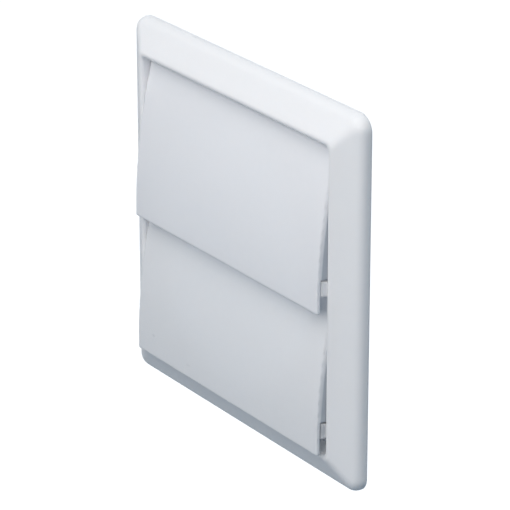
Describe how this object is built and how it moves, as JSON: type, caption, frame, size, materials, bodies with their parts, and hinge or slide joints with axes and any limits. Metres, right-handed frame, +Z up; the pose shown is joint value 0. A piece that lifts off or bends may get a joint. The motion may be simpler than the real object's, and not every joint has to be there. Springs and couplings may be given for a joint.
{
  "type": "gravity flap duct outlet",
  "caption": "Square wall outlet for a round duct: a sloping bezel round a recess, bowed flaps hung on stub pins that close by their own weight, and a short spigot behind.",
  "frame": {"origin": "on the duct axis, in the wall plane at the back of the bezel", "axes": "+Y into the wall along the duct, -Y out of the front, +Z up, +X to the right seen from the front"},
  "size_m": [0.14, 0.025, 0.14],
  "materials": {
    "moulded_plastic": "smooth white moulded plastic with a soft satin sheen"
  },
  "bodies": {
    "frame": {"frame": "moulded_plastic"},
    "upper_flap": {"upper_flap": "moulded_plastic"},
    "lower_flap": {"lower_flap": "moulded_plastic"}
  },
  "joints": [
    {"name": "upper_flap_hinge", "type": "hinge", "parent": "frame", "child": "upper_flap", "pos_m": [0, -0.0042, 0.0541], "axis": [-1, 0, 0], "range_deg": [0, 90]},
    {"name": "lower_flap_hinge", "type": "hinge", "parent": "frame", "child": "lower_flap", "pos_m": [0, -0.0042, 0.0004], "axis": [-1, 0, 0], "range_deg": [0, 35]}
  ]
}
